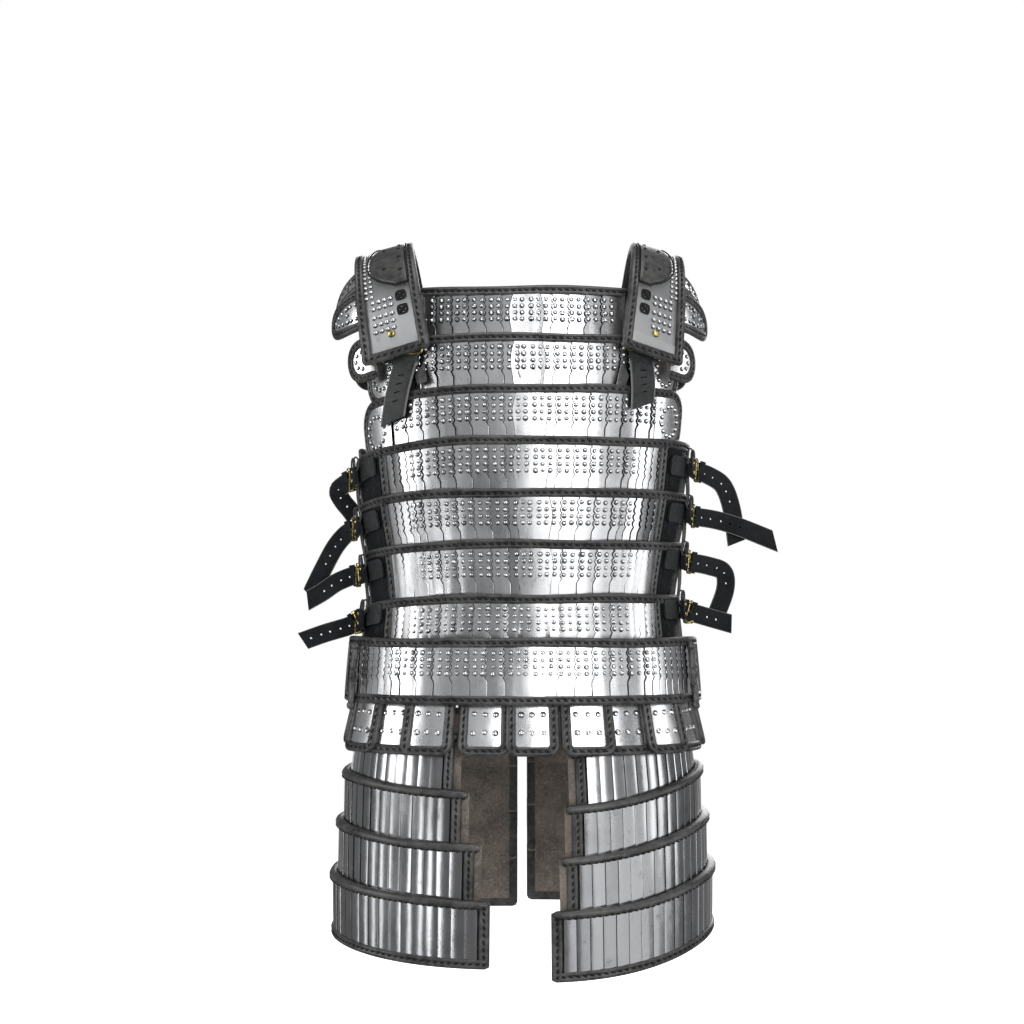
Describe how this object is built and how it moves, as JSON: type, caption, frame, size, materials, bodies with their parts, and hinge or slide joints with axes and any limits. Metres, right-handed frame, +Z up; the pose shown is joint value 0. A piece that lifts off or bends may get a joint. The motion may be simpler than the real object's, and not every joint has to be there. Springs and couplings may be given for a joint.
{
  "type": "lamellar armour",
  "caption": "Worn lamellar body armour: rows of steel lamellae bound in leather, with shoulder straps, buckled sides, a waist row with tassets and a split skirt.",
  "frame": {"origin": "midway between the shoulder straps, at the height of the shoulder tops, where the wearer's shoulders carry the armour", "axes": "+Z up the body, -Y out of the front, +X towards the viewer's right, which is the wearer's left"},
  "size_m": [0.6197, 0.3779, 0.9121],
  "materials": {
    "steel": "semi-polished stainless sheet, fine hand-rubbed grain",
    "leather": "black dyed harness leather, satin, worn a little grey on its edges",
    "brass": "polished brass buckles and rivets",
    "suede": "grey-brown suede backing, flesh side out, matt"
  },
  "bodies": {
    "root": {"front_row_1": "steel", "front_row_2": "steel", "front_row_3": "steel", "front_row_4": "steel", "front_row_5": "steel", "front_row_6": "steel", "front_row_7": "steel", "front_row_8": "steel", "back_row_1": "steel", "back_row_2": "steel", "back_row_3": "steel", "back_row_4": "steel", "back_row_5": "steel", "back_row_6": "steel", "back_row_7": "steel", "back_row_8": "steel", "skirt_left_a": "steel", "skirt_left_b": "steel", "skirt_left_c": "steel", "skirt_left_d": "steel", "skirt_right_a": "steel", "skirt_right_b": "steel", "skirt_right_c": "steel", "skirt_right_d": "steel", "tasset_front_1": "steel", "tasset_front_2": "steel", "tasset_front_3": "steel", "tasset_front_4": "steel", "tasset_front_5": "steel", "tasset_front_6": "steel", "tasset_front_7": "steel", "tasset_front_8": "steel", "tasset_front_9": "steel", "tassets_back": "steel", "shoulder_strap_left": "steel", "shoulder_strap_right": "steel", "wing_left_crown": "steel", "wing_left_front_upper": "steel", "wing_left_front_lower": "steel", "wing_left_back_upper": "steel", "wing_left_back_lower": "steel", "wing_right_crown": "steel", "wing_right_front_upper": "steel", "wing_right_front_lower": "steel", "wing_right_back_upper": "steel", "wing_right_back_lower": "steel", "shoulder_patch_left": "leather", "shoulder_patch_right": "leather", "shoulder_tail_left": "leather", "shoulder_tail_right": "leather", "side_strap_left_4": "leather", "side_strap_left_5": "leather", "side_strap_left_6": "leather", "side_strap_left_7": "leather", "side_strap_right_4": "leather", "side_strap_right_5": "leather", "side_strap_right_6": "leather", "side_strap_right_7": "leather", "side_hanger_left": "leather", "side_hanger_right": "leather"}
  },
  "joints": []
}
